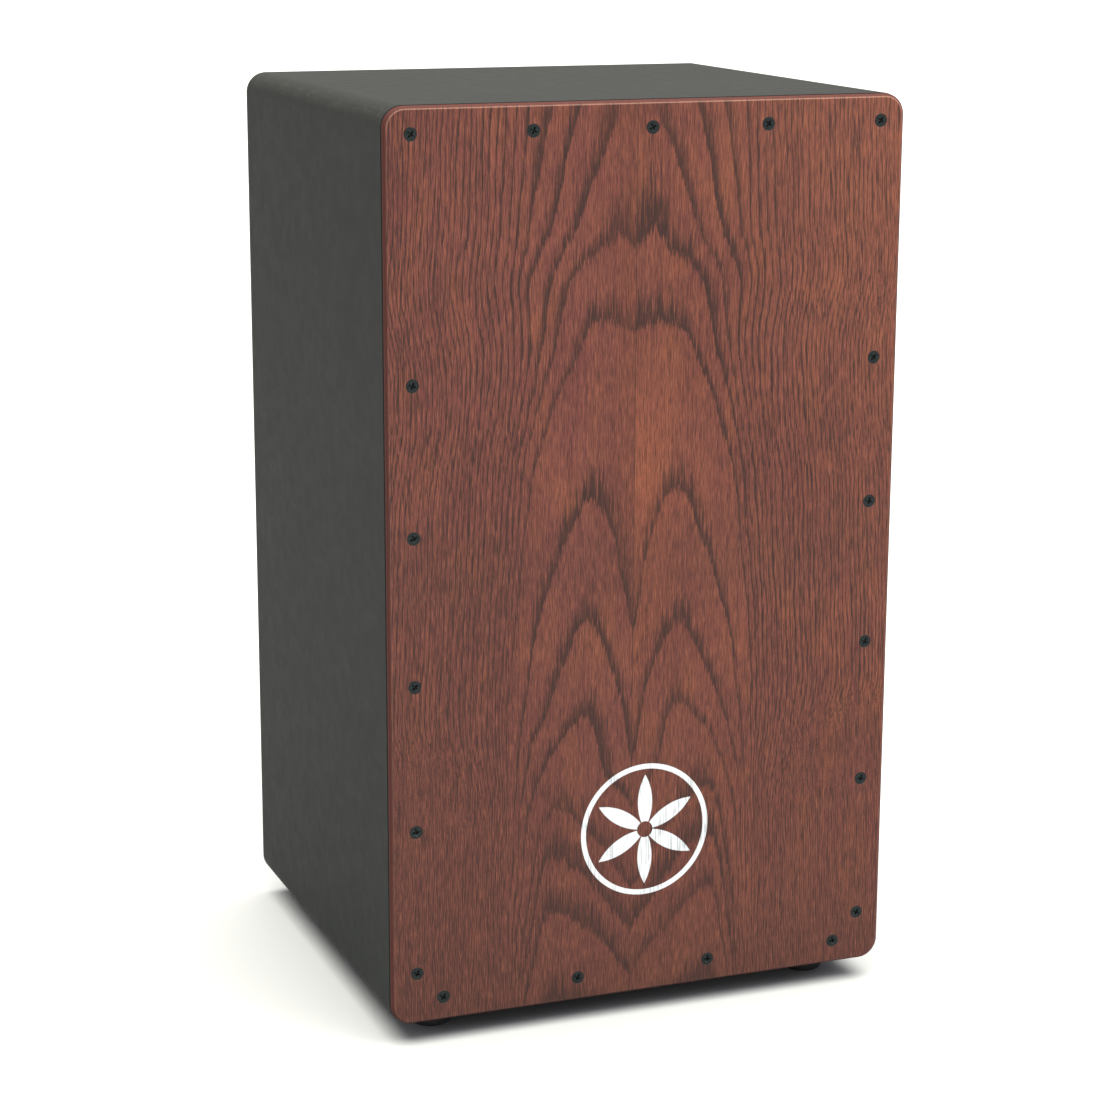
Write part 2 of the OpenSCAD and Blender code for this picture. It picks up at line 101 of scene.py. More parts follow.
class Finish:
    """A material built round one shader. Its places x, y and z are in millimetres from the part's origin."""

    def __init__(self, name, constants):
        self.material = bpy.data.materials.new(name)
        self.material.use_nodes = True
        self.tree = self.material.node_tree
        self.shader = self.tree.nodes["Principled BSDF"]
        for socket, value in constants.items():
            self.shader.inputs[socket].default_value = value
        place = self.add("ShaderNodeTexCoord", {}, {}, "Object")
        self.place = self.add("ShaderNodeVectorMath", {"operation": "SCALE"}, {0: place, "Scale": 1 / MM})
        self.x, self.y, self.z = (
            self.add("ShaderNodeSeparateXYZ", {}, {"Vector": self.place}, axis) for axis in "XYZ"
        )

    def add(self, kind, settings, sockets, out=0):
        """Adds a node, its settings first and then its sockets' values or links, and gives one output."""
        node = self.tree.nodes.new(kind)
        for name, value in settings.items():
            if name == "steps":
                self.set_steps(node.color_ramp, value)
            else:
                setattr(node, name, value)
        for name, value in sockets.items():
            self.feed(node.inputs[name], value)
        return Value(self, node.outputs[out])

    def feed(self, socket, value):
        if isinstance(value, Value):
            self.tree.links.new(value.socket, socket)
        else:
            socket.default_value = value

    def set_steps(self, ramp, steps):
        """Makes a ramp a stair of (position, height) steps. Each height holds up to the next position."""
        ramp.interpolation = "CONSTANT"
        while len(ramp.elements) < len(steps):
            ramp.elements.new(1.0)
        for element, (position, height) in zip(ramp.elements, steps):
            element.position = position
            element.color = (height, height, height, 1)

    def maths(self, operation, *terms):
        return self.add("ShaderNodeMath", {"operation": operation}, dict(enumerate(terms)))

    def size(self, value):
        return self.maths("ABSOLUTE", value)

    def larger(self, a, b):
        return self.maths("MAXIMUM", a, b)

    def smaller(self, a, b):
        return self.maths("MINIMUM", a, b)

    def ease(self, value, start, end, low=0.0, high=1.0):
        """Runs smoothly from low, where value is start, to high, where it is end."""
        return self.add(
            "ShaderNodeMapRange",
            {"interpolation_type": "SMOOTHSTEP"},
            {"Value": value, "From Min": start, "From Max": end, "To Min": low, "To Max": high},
        )

    def run(self, value, start, end, low=0.0, high=1.0):
        """Runs straight from low, where value is start, to high, where it is end, and stays there."""
        return self.add(
            "ShaderNodeMapRange",
            {"interpolation_type": "LINEAR", "clamp": True},
            {"Value": value, "From Min": start, "From Max": end, "To Min": low, "To Max": high},
        )

    def point(self, x, y, z):
        return self.add("ShaderNodeCombineXYZ", {}, {"X": x, "Y": y, "Z": z})

    def noise(self, point, scale, detail=3.0, rough=0.55, warp=0.0):
        return self.add(
            "ShaderNodeTexNoise",
            {"noise_dimensions": "3D"},
            {"Vector": point, "Scale": scale, "Detail": detail, "Roughness": rough, "Distortion": warp},
        )

    def dashes(self, across, up, gap, long, wide):
        """Short strokes that run upwards, about gap apart and long from end to end; wide swells them."""
        place = self.point(across / gap, up / long, 0.0)
        stroke = self.add(
            "ShaderNodeTexVoronoi",
            {"voronoi_dimensions": "2D"},
            {"Vector": place, "Scale": 1.0, "Randomness": 1.0},
        )
        return self.run(stroke - wide, 0.12, 0.0)

    def chance(self, value):
        """A number from 0 to 1 that is fixed for each value."""
        return self.add("ShaderNodeTexWhiteNoise", {"noise_dimensions": "1D"}, {"W": value})

    def mix(self, share, a, b):
        """Colour a turning to colour b as share goes from 0 to 1."""
        a, b = ((*tint, 1) if isinstance(tint, tuple) else tint for tint in (a, b))
        return self.add("ShaderNodeMix", {"data_type": "RGBA"}, {0: share, 6: a, 7: b}, 2)

    def colour(self, value):
        self.feed(self.shader.inputs["Base Color"], value)

    def rough(self, value):
        self.feed(self.shader.inputs["Roughness"], value)

    def relief(self, height):
        """Bump whose height is in millimetres."""
        bump = self.add("ShaderNodeBump", {}, {"Strength": 1.0, "Distance": MM, "Height": height}, "Normal")
        self.feed(self.shader.inputs["Normal"], bump)


def ply_tone(finish, along):
    """Pale birch veneer with its grain along one axis, as a colour and a height."""
    stretch = {"x": (0.03, 1, 1), "y": (1, 0.03, 1), "z": (1, 1, 0.03)}[along]
    drawn = finish.point(finish.x * stretch[0], finish.y * stretch[1], finish.z * stretch[2])
    fibre = finish.noise(drawn, 1.3, 4.0, 0.6)
    cloud = finish.noise(drawn, 0.08, 3.0, 0.5, 0.6)
    tone = finish.mix(finish.run(cloud, 0.35, 0.65), (0.56, 0.39, 0.23), (0.68, 0.51, 0.33))
    tone = finish.mix(finish.run(fibre, 0.45, 0.75, 0.0, 0.5), tone, (0.36, 0.22, 0.12))
    return tone, fibre * 0.03


LACQUER_DEEP = (0.0218, 0.0223, 0.0225)
LACQUER_FULL = (0.0234, 0.0238, 0.0238)
LACQUER_HAZE = (0.029, 0.0292, 0.0285)
LACQUER_LOW = (0.022, 0.0265, 0.0265)
LACQUER_WORN = (0.062, 0.060, 0.054)


def lacquer(grain):
    """Matt dark lacquer outside, raw birch ply on the inner faces with its grain along one axis."""
    finish = Finish("dark_lacquer_" + grain, {"IOR": 1.2, "Specular IOR Level": 0.05})
    cloud = finish.noise(finish.place, 0.012, 2.0, 0.5)
    haze = finish.noise(finish.place, 0.11, 3.0, 0.6)
    tone = finish.mix(finish.run(cloud, 0.3, 0.7), LACQUER_DEEP, LACQUER_FULL)
    tone = finish.mix(finish.run(haze, 0.35, 0.75, 0.0, 0.25), tone, LACQUER_HAZE)
    height = finish.z - BOX_LOW.z / MM
    tone = finish.mix(finish.ease(height, 240, 0, 0.0, 0.35), tone, LACQUER_LOW)
    # Lacquer rubbed paler along the long edges and close to the floor
    rub = finish.noise(finish.place, 0.35, 4.0, 0.65)
    beside = finish.size(finish.x) - BOX_HIGH.x / MM
    above = finish.size(finish.z - MIDDLE_Z / MM) - (BOX_HIGH.z - MIDDLE_Z) / MM
    corner = finish.ease(beside + above, -9.5, -6.0)
    worn = corner * finish.ease(rub, 0.5, 0.66, 0.0, 0.35)
    tone = finish.mix(worn, tone, LACQUER_WORN)
    # Inner faces
    inside = finish.larger(
        finish.size(finish.x) - (INNER_X / MM + 0.5),
        finish.size(finish.z - MIDDLE_Z / MM) - ((INNER_TOP - MIDDLE_Z) / MM + 0.5),
    )
    raw = finish.maths("LESS_THAN", inside, 0.0)
    raw = raw * finish.maths("LESS_THAN", finish.y, INNER_BACK_Y / MM + 0.3)
    ply, fibre = ply_tone(finish, grain)
    finish.colour(finish.mix(raw, tone, ply))
    peel = finish.noise(finish.place, 0.55, 2.0, 0.5)
    dust = finish.noise(finish.place, 5.0, 2.0, 0.6)
    finish.rough(finish.run(haze, 0.3, 0.7, 0.40, 0.50) + worn * 0.2 + raw * 0.25)
    finish.relief((peel * 0.022 + dust * 0.004) * (1 - raw) + fibre * raw)
    return finish.material


# The stained veneer's colours
WOOD_DEEP = (0.084, 0.0243, 0.0215)
WOOD_FULL = (0.112, 0.0345, 0.0272)
WOOD_AMBER = (0.170, 0.056, 0.027)
WOOD_WINE = (0.080, 0.0235, 0.0245)
FIBRE_LIGHT = (0.166, 0.053, 0.035)
FIBRE_DARK = (0.055, 0.018, 0.0145)
LATE_WOOD = (0.028, 0.0135, 0.0125)
FLAME_LIGHT = (0.195, 0.068, 0.041)
FLAME_DARK = (0.045, 0.017, 0.014)
LEAF_GLOW = (0.215, 0.064, 0.033)
LEAF_SHADE = (0.085, 0.026, 0.018)
PAINTED_SHADE_FOOT = (0.05, 0.022, 0.018)
# Painted shade and painted light for the playing face's broad light gradient
PAINTED_SHADE_LOWER_LEFT = (0.055, 0.022, 0.018)
PAINTED_LIGHT_UPPER_RIGHT = (0.255, 0.089, 0.052)
STAIN_BELT = (0.055, 0.023, 0.02)
PORE_DARK = (0.024, 0.013, 0.013)
SPECK_DARK = (0.034, 0.017, 0.015)
FINE_DARK = (0.036, 0.016, 0.0145)
FINE_LIGHT = (0.245, 0.088, 0.052)
# A painted highlight along the start of the playing plate's rounded rim
RIM_PAINTED_HIGHLIGHT = (0.36, 0.21, 0.16)
RIM_STAIN = (0.06, 0.02, 0.018)
SEAM_DARK = (0.035, 0.018, 0.014)
INK = (0.56, 0.59, 0.63)

# Heights at which the cathedral figure's growth rings cross the seam, and the even spacing of those beyond
RING_HEIGHTS = (5, 53, 82, 107, 156, 204, 268, 361, 404, 437, 475, 510, 550, 600)
RING_SPACING = 52.0
RING_SPAN = 640
PALE_RING = 437


def crossing(finish, u, h):
    """Height at which the growth line through a place, u out from the seam and h up, crosses the seam."""
    # Each ring peaks at split, runs down to the seam as a notch and down its flank as a widening arch
    split = 9 + finish.ease(h, 410, 375, 0, 3) + finish.ease(h, 390, 270, 0, 14)
    split = split + finish.ease(h, 165, 95, 0, 20)
    beyond = finish.larger(u - split, 0.0) * 40 / (66 - finish.larger(split, 26))
    within = finish.larger(split - u, 0.0)
    turn = finish.larger(beyond - (26 + finish.ease(h, 300, 400, 0, 19)), 0.0)
    steep = 0.62 - finish.ease(h, 335, 385, 0, 0.2)
    rise = steep * beyond**1.42 + 18 * turn * turn / (turn + 40)
    notch = 0.11 - finish.ease(h, 395, 370, 0, 0.05)
    notch = notch + finish.ease(h, 330, 205, 0, 0.21) - finish.ease(h, 165, 95, 0, 0.2)
    shoulder = finish.ease(u, 14, 28) * finish.ease(u, 52, 38)
    shoulder = shoulder * finish.ease(h, 280, 318) * finish.ease(h, 405, 372)
    return h - 0.43 * finish.larger(h - 404, 0.0) + rise + notch * within**1.7 - 11 * shoulder


def ring_below(finish, height):
    """The highest ring that lies below a height at the seam."""
    steps = [(0.0, 0.0)] + [(ring / RING_SPAN, ring / RING_SPAN) for ring in RING_HEIGHTS]
    near = finish.add("ShaderNodeValToRGB", {"steps": steps}, {"Fac": height / RING_SPAN}) * RING_SPAN
    last = RING_HEIGHTS[-1]
    far = finish.maths("GREATER_THAN", height, last)
    count = finish.maths("FLOOR", (height - last) / RING_SPACING)
    return near * (1 - far) + (last + count * RING_SPACING) * far


def figured_veneer(side, seed):
    """One leaf of the playing face: stained, with a cathedral figure that mirrors the other leaf's."""
    finish = Finish(
        "figured_veneer_left" if side < 0 else "figured_veneer_right",
        {"IOR": 1.3, "Specular IOR Level": 0.3},
    )
    across = (finish.x - SEAM_X / MM) * side
    height = finish.z - BOX_LOW.z / MM
    shift = 40.0 * seed
    # Streaks that run with the fibres break up the edges of the rings
    streak = finish.noise(finish.point(finish.x * 0.9 + shift, 0.0, finish.z * 0.03), 1.0, 4.0, 0.75)
    wave = finish.noise(finish.point(finish.x * 0.02 + shift, 0.0, finish.z * 0.009), 1.0, 2.0, 0.5)
    drift = finish.noise(finish.point(finish.x * 0.09, shift, finish.z * 0.02), 1.0, 2.0, 0.5)
    u = across + (drift - 0.5) * 5.0
    h = height + (streak - 0.5) * 26.0 + (wave - 0.5) * 26.0
    sides = finish.ease(across, 35, 85)
    # Growth rings: a dark band of late wood above each ring, fading upwards
    ring = crossing(finish, u, h)
    level = ring_below(finish, ring)
    step = ring - level
    luck = finish.chance(level * 0.173 + shift)
    thick = (16 + luck * 8) * finish.run(streak, 0.66, 0.36, 0.45, 1.4)
    band = finish.ease(step, thick, thick * 0.05)
    band = band * (0.72 + 0.28 * luck) * finish.run(streak, 0.62, 0.40, 0.75, 1.1)
    pale = finish.ease(level, PALE_RING - 1, PALE_RING - 0.5)
    pale = pale * finish.ease(level, PALE_RING + 1, PALE_RING + 0.5)
    crown = finish.ease(across, 14, 9) * pale
    band = band * (1 - 0.8 * crown)
    # Pores: short dark dashes, closer together in the dark rings and at the sides
    leaning = across + 0.045 * height * sides + (drift - 0.5) * 0.4
    crowd = finish.noise(finish.point(leaning * 0.33 + shift, 0.0, finish.z * 0.012), 1.0, 2.0, 0.6)
    crowd = finish.run(crowd, 0.36, 0.62) * (0.35 + 0.65 * sides)
    pore = finish.dashes(leaning + shift, finish.z, 0.8, 24.0, 0.03 + band * 0.30 + crowd * 0.21)
    speck = finish.dashes(leaning + shift * 2, finish.z, 0.5, 10.0, 0.14 + band * 0.18 + crowd * 0.14)
    # Fine fibres, flames and broad changes of the wood's own colour
    fine = finish.noise(finish.point(finish.x * 2.4 + shift, 0.0, finish.z * 0.12), 1.0, 3.0, 0.7)
    flame = finish.noise(finish.point(finish.x * 1.7 + shift, 0.0, finish.z * 0.05), 1.0, 3.0, 0.6)
    fibre = finish.noise(finish.point(finish.x * 0.7 + shift, 0.0, finish.z * 0.012), 1.0, 4.0, 0.65)
    broad = finish.noise(finish.point(finish.x * 0.018 + shift, 0.0, finish.z * 0.011), 1.0, 2.0, 0.5)
    hue = finish.noise(finish.point(finish.x * 0.06 + shift, 0.0, finish.z * 0.022), 1.0, 3.0, 0.6)

    def cooled(tint):
        return (*tint[:2], tint[2] + (0.004 if side < 0 else 0.0))

    base = finish.mix(finish.run(broad, 0.35, 0.65), cooled(WOOD_DEEP), cooled(WOOD_FULL))
    base = finish.mix(finish.run(hue, 0.5, 0.68, 0.0, 0.55), base, WOOD_AMBER)
    base = finish.mix(finish.run(hue, 0.5, 0.34, 0.0, 0.5), base, WOOD_WINE)
    base = finish.mix(finish.run(fibre, 0.4, 0.68, 0.0, 0.6), base, FIBRE_LIGHT)
    base = finish.mix(finish.run(fibre, 0.5, 0.28, 0.0, 0.62), base, FIBRE_DARK)
    tone = finish.mix(finish.smaller(band * 1.3, 1.0), base, LATE_WOOD)
    # Light streaks stay clear of the dark bands
    clear = 1 - band * 0.8
    tone = finish.mix(finish.run(flame, 0.5, 0.72, 0.0, 0.35) * clear, tone, FLAME_LIGHT)
    tone = finish.mix(finish.run(flame, 0.5, 0.3, 0.0, 0.35), tone, FLAME_DARK)
    if side > 0:
        glow = finish.ease(across, 34, 0) * finish.ease(height, 355, 300) * finish.ease(height, 190, 240)
        tone = finish.mix(glow * 0.4, tone, LEAF_GLOW)
    else:
        shade = finish.ease(across, 30, 0) * finish.ease(height, 190, 240)
        tone = finish.mix(shade * 0.42, tone, LEAF_SHADE)
    # Painted shade towards the bottom of the playing face
    tone = finish.mix(finish.ease(height, 60, 0, 0.0, 0.35), tone, PAINTED_SHADE_FOOT)
    # Painted shade towards the lower left and painted light towards the upper right, as the key light falls
    # from the upper right
    tone = finish.mix(finish.ease(finish.x * 0.9 + height, 330, -80, 0.0, 0.52), tone, PAINTED_SHADE_LOWER_LEFT)
    tone = finish.mix(finish.ease(finish.x + height * 0.5, 210, 360, 0.0, 0.30), tone, PAINTED_LIGHT_UPPER_RIGHT)
    tone = finish.mix(finish.ease(finish.size(height - 235), 32, 8, 0.0, 0.24), tone, STAIN_BELT)
    tone = finish.mix(pore * 0.76, tone, PORE_DARK)
    tone = finish.mix(speck * 0.5, tone, SPECK_DARK)
    tone = finish.mix(finish.run(fine, 0.5, 0.66, 0.0, 0.62), tone, FINE_DARK)
    tone = finish.mix(finish.run(fine, 0.5, 0.36, 0.0, 0.40) * clear, tone, FINE_LIGHT)
    # The rounded rim: a painted highlight line where it begins, strongest along the top edge, then dark
    # stain
    round_off = finish.y - FRONT_Y / MM
    upper = finish.ease(finish.z - BOX_HIGH.z / MM, -14, -3, 0.2, 1.0)
    rim_highlight = finish.ease(round_off, 0.02, 0.07) * finish.ease(round_off, 0.26, 0.16) * upper
    tone = finish.mix(rim_highlight * 0.35, tone, RIM_PAINTED_HIGHLIGHT)
    tone = finish.mix(finish.ease(round_off, 0.2, 0.36, 0.0, 0.9), tone, RIM_STAIN)
    seam = finish.ease(across, 0.35, 0.1)
    tone = finish.mix(seam * 0.7, tone, SEAM_DARK)
    ink = emblem(finish) * finish.run(pore, 0.6, 1.0, 1.0, 0.6)
    ink = ink * finish.run(finish.noise(finish.place, 1.6, 3.0, 0.6), 0.30, 0.42, 0.7, 1.0)
    finish.colour(finish.mix(ink * 0.93, tone, INK))
    rim = finish.ease(round_off, 0.05, 0.3, 0.0, 0.2)
    finish.rough(finish.run(fibre, 0.3, 0.7, 0.40, 0.47) + pore * 0.12 + ink * 0.1 + rim)
    finish.relief(fibre * 0.015 - pore * 0.03 - speck * 0.008 - seam * 0.03 + ink * 0.012)
    return finish.material


EMBLEM_Z = BOX_LOW.z / MM + 90.7
EMBLEM_R = 36.0


def emblem(finish):
    """A compass-drawn rosette, printed on the playing face. It is 1 where there is ink."""
    x = finish.x
    z = finish.z - EMBLEM_Z
    out = (x * x + z * z) ** 0.5

    def line(value, at, wide):
        return finish.ease(finish.size(value - at), wide / 2 + 0.18, wide / 2 - 0.18)

    rings = line(out, EMBLEM_R - 1.4, 2.8)
    # Folds the plane into one sixth, then draws the petal arcs about the sixth's edges
    turn = finish.maths("ARCTAN2", z, x)
    sixth = math.pi / 3
    folded = finish.maths("PINGPONG", turn + sixth / 2, sixth / 2)
    arc_r = EMBLEM_R - 6.0
    fx = out * finish.maths("COSINE", folded)
    fz = out * finish.maths("SINE", folded)
    beside = fx - arc_r * math.cos(sixth)
    over = fz - arc_r * math.sin(sixth)
    under = fz + arc_r * math.sin(sixth)
    lens = finish.larger((beside * beside + over * over) ** 0.5, (beside * beside + under * under) ** 0.5)
    petals = finish.ease(lens, arc_r + 0.2, arc_r - 0.2)
    hub = finish.ease(out, 4.2, 4.6)
    return finish.larger(rings, petals * hub)


def plate_core():
    """Birch ply core of the playing plate, stained where its edge shows."""
    finish = Finish("plate_core", {"IOR": 1.25, "Specular IOR Level": 0.1})
    half_z = (BOX_HIGH.z - MIDDLE_Z) / MM
    past_x = finish.larger(finish.size(finish.x) - (BOX_HIGH.x / MM - CORNER_R), 0.0)
    past_z = finish.larger(finish.size(finish.z - MIDDLE_Z / MM) - (half_z - CORNER_R), 0.0)
    stained = finish.maths("GREATER_THAN", (past_x * past_x + past_z * past_z) ** 0.5, CORNER_R - 3.5)
    ply, grain = ply_tone(finish, "z")
    grit = finish.noise(finish.place, 1.4, 4.0, 0.65)
    layer = finish.maths("FRACT", (finish.y - VENEER_BACK_Y / MM) / 0.94)
    glue = finish.ease(finish.size(layer - 0.5), 0.42, 0.5)
    stain = finish.mix(finish.run(grit, 0.3, 0.7), (0.045, 0.015, 0.014), (0.075, 0.026, 0.022))
    stain = finish.mix(glue * 0.5, stain, (0.045, 0.022, 0.018))
    finish.colour(finish.mix(stained, ply, stain))
    finish.rough(finish.run(grit, 0.3, 0.7, 0.5, 0.62))
    finish.relief(grain + grit * 0.02 - glue * 0.03)
    return finish.material


def sawn_wood(name, along, pale, dark, ring_mm, seed):
    """Planed softwood or beech with growth rings about a pith that lies outside the piece."""
    finish = Finish(name, {"Specular IOR Level": 0.35})
    a, b, long = {
        "x": (finish.y, finish.z, finish.x),
        "y": (finish.x, finish.z, finish.y),
        "z": (finish.x, finish.y, finish.z),
    }[along]
    bend = finish.noise(finish.point(a * 0.02 + seed, b * 0.02, long * 0.006), 1.0, 2.0, 0.5)
    ca = a + 61.0 + seed * 3
    cb = b - 47.0
    out = (ca * ca + cb * cb) ** 0.5 + (bend - 0.5) * 34
    ring = finish.maths("FRACT", out / ring_mm)
    late = finish.run(ring, 0.45, 0.93) * finish.run(ring, 1.0, 0.95)
    drawn = finish.point(a * 1.6 + seed, b * 1.6, long * 0.05)
    fibre = finish.noise(drawn, 1.0, 4.0, 0.65)
    cloud = finish.noise(finish.place, 0.02, 2.0, 0.5)
    tone = finish.mix(late * 0.7, pale, dark)
    tone = finish.mix(finish.run(fibre, 0.45, 0.8, 0.0, 0.5), tone, dark)
    tone = finish.mix(finish.run(cloud, 0.4, 0.7, 0.0, 0.25), tone, dark)
    finish.colour(tone)
    finish.rough(finish.run(fibre, 0.3, 0.7, 0.5, 0.65))
    finish.relief(fibre * 0.04 + late * 0.03)
    return finish.material


def metal(name, colour, rough, brushed, scuff):
    """Metal with fine brushing, handling marks and slightly uneven sheen."""
    finish = Finish(name, {"Metallic": 1.0})
    lines = finish.noise(finish.point(finish.x * 0.15, finish.y * 4.0, finish.z * 4.0), 1.0, 3.0, 0.6)
    cloud = finish.noise(finish.place, 0.25, 3.0, 0.6)
    mark = finish.noise(finish.place, 1.5, 4.0, 0.7, 1.0)
    darker = tuple(part * 0.6 for part in colour)
    tone = finish.mix(finish.run(cloud, 0.35, 0.7, 0.0, 0.5), colour, darker)
    scuffed = tuple(min(part * 2.2, 0.9) for part in colour)
    tone = finish.mix(finish.run(mark, 0.58, 0.7, 0.0, scuff), tone, scuffed)
    finish.colour(tone)
    finish.rough(finish.run(cloud, 0.3, 0.7, rough - 0.06, rough + 0.08) + lines * brushed * 0.1)
    finish.relief(lines * 0.01 * brushed + mark * 0.004)
    return finish.material


def moulded(name, colour, rough, speckle):
    """Moulded rubber or plastic with a fine texture and a few dusty patches."""
    finish = Finish(name, {"Specular IOR Level": 0.4})
    grain = finish.noise(finish.place, 2.6, 3.0, 0.6)
    dust = finish.noise(finish.place, 0.3, 4.0, 0.7)
    pale = tuple(min(part * 1.9 + 0.015, 0.95) for part in colour)
    finish.colour(finish.mix(finish.run(dust, 0.45, 0.75, 0.0, speckle), colour, pale))
    finish.rough(finish.run(grain, 0.3, 0.7, rough - 0.07, rough + 0.07))
    finish.relief(grain * 0.03)
    return finish.material


LACQUER_UP = lacquer("z")
LACQUER_ACROSS = lacquer("x")
LEFT_VENEER = figured_veneer(-1, 1)
RIGHT_VENEER = figured_veneer(1, 2)
CORE = plate_core()
PINE_PALE = (0.66, 0.46, 0.26)
PINE_DARK = (0.42, 0.24, 0.11)
PINE = {
    axis: sawn_wood("pine_" + axis, axis, PINE_PALE, PINE_DARK, 3.4, seed)
    for axis, seed in zip("xyz", (1, 5, 9))
}
BEECH_PALE = (0.60, 0.38, 0.22)
BEECH_DARK = (0.44, 0.25, 0.135)
BEECH = {
    axis: sawn_wood("beech_" + axis, axis, BEECH_PALE, BEECH_DARK, 1.9, seed)
    for axis, seed in zip("xz", (3, 7))
}
BLACK_STEEL = metal("blackened_steel", (0.026, 0.031, 0.032), 0.38, 0.2, 0.2)
STEEL = metal("zinc_steel", (0.55, 0.56, 0.57), 0.32, 1.0, 0.3)
SPRING = metal("spring_steel", (0.62, 0.61, 0.58), 0.24, 0.2, 0.1)
NYLON = moulded("nylon", (0.72, 0.71, 0.66), 0.42, 0.3)
RUBBER = moulded("rubber", (0.022, 0.022, 0.024), 0.6, 0.35)


# ---------------------------------------------------------------- pieces


def take_finish(thing, material):
    thing.data.materials.clear()
    thing.data.materials.append(material)


def dress(node, material):
    """Gives a CAD node its finish. Its shape and place stay as they are."""
    thing = NODES[node]
    for held in thing.material_slots:
        held.material = material


def piece(name, mesh, material, body, slot, *nodes):
    """Links a mesh as a piece that rides on a body and stands for CAD nodes."""
    thing = bpy.data.objects.new(name, mesh)
    bpy.context.scene.collection.objects.link(thing)
    take_finish(thing, material)
    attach(thing, body)
    if nodes:
        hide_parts(*nodes)
    return thing


def smooth(mesh, degrees=35):
    mesh.shade_smooth()
    mesh.set_sharp_from_angle(angle=math.radians(degrees))


def eased(name, node, width, material, body, slot):
    """A CAD node's shape with its long sharp edges rounded over by width, in millimetres."""
    shape = bmesh.new()
    shape.from_mesh(NODES[node].data)
    bmesh.ops.remove_doubles(shape, verts=shape.verts, dist=1e-6)
    bmesh.ops.dissolve_limit(shape, angle_limit=math.radians(1), verts=shape.verts, edges=shape.edges)
    weight = shape.edges.layers.float.new("bevel_weight_edge")
    for edge in shape.edges:
        sharp = len(edge.link_faces) == 2 and edge.calc_face_angle() > math.radians(40)
        if sharp and edge.calc_length() > 5 * width * MM:
            edge[weight] = 1.0
            edge.smooth = True
        else:
            edge.smooth = not sharp
    for face in shape.faces:
        face.smooth = True
    mesh = bpy.data.meshes.new(name)
    shape.to_mesh(mesh)
    shape.free()
    thing = piece(name, mesh, material, body, slot, node)
    bevel = thing.modifiers.new("eased_edges", "BEVEL")
    bevel.limit_method = "WEIGHT"
    bevel.width = width * MM
    bevel.segments = 3
    bevel.harden_normals = True
    return thing


def islands(node):
    """The separate solids of a CAD node, each as the list of its points."""
    shape = bmesh.new()
    shape.from_mesh(NODES[node].data)
    bmesh.ops.remove_doubles(shape, verts=shape.verts, dist=1e-6)
    seen = set()
    groups = []
    for start in shape.verts:
        if start.index in seen:
            continue
        seen.add(start.index)
        group = [start]
        for corner in group:
            for edge in corner.link_edges:
                other = edge.other_vert(corner)
                if other.index not in seen:
                    seen.add(other.index)
                    group.append(other)
        groups.append([corner.co.copy() for corner in group])
    shape.free()
    return groups


def along(points, guess):
    """Start, unit axis and length of a turned solid that lies roughly along guess."""
    middle = sum(points, Vector()) / len(points)
    axis = Vector(guess)
    for _ in range(60):
        pulled = Vector()
        for point in points:
            arm = point - middle
            pulled += arm * arm.dot(axis)
        axis = pulled.normalized()
    reach = [(point - middle).dot(axis) for point in points]
    return middle + axis * min(reach), axis, max(reach) - min(reach)


def turned(rings, segments=64):
    """Closed solid spun round the z axis from (radius, height) places, in millimetres, from end to end."""
    shape = bmesh.new()
    loops = []
    for radius, height in rings:
        if radius <= 0:
            loops.append([shape.verts.new((0, 0, height * MM))])
            continue
        loop = []
        for step in range(segments):
            angle = 2 * math.pi * step / segments
            place = (radius * MM * math.cos(angle), radius * MM * math.sin(angle), height * MM)
            loop.append(shape.verts.new(place))
        loops.append(loop)
    closed = rings[0][0] > 0
    pairs = list(zip(loops, loops[1:] + loops[:1])) if closed else list(zip(loops, loops[1:]))
    for low, high in pairs:
        for step in range(segments):
            after = (step + 1) % segments
            if len(low) == 1:
                shape.faces.new((low[0], high[after], high[step]))
            elif len(high) == 1:
                shape.faces.new((low[step], low[after], high[0]))
            else:
                shape.faces.new((low[step], low[after], high[after], high[step]))
    bmesh.ops.recalc_face_normals(shape, faces=shape.faces)
    return shape


def as_mesh(name, shape, degrees=35):
    mesh = bpy.data.meshes.new(name)
    shape.to_mesh(mesh)
    shape.free()
    smooth(mesh, degrees)
    return mesh


def rounded(radius, height, edge, steps=3, inner=0.0):
    """Profile of a disc or washer from z = 0 up to height, with rounded rims."""

    def rim(r, z, outward, upward):
        turns = [math.pi / 2 * step / steps for step in range(steps + 1)]
        out = outward * edge
        up = upward * edge
        return [(r - out + out * math.cos(turn), z - up + up * math.sin(turn)) for turn in turns]

    outer = rim(radius, 0, 1, -1)[::-1] + rim(radius, height, 1, 1)
    if inner <= 0:
        return [(0, 0)] + outer + [(0, height)]
    return outer + rim(inner, height, -1, 1)[::-1] + rim(inner, 0, -1, -1)


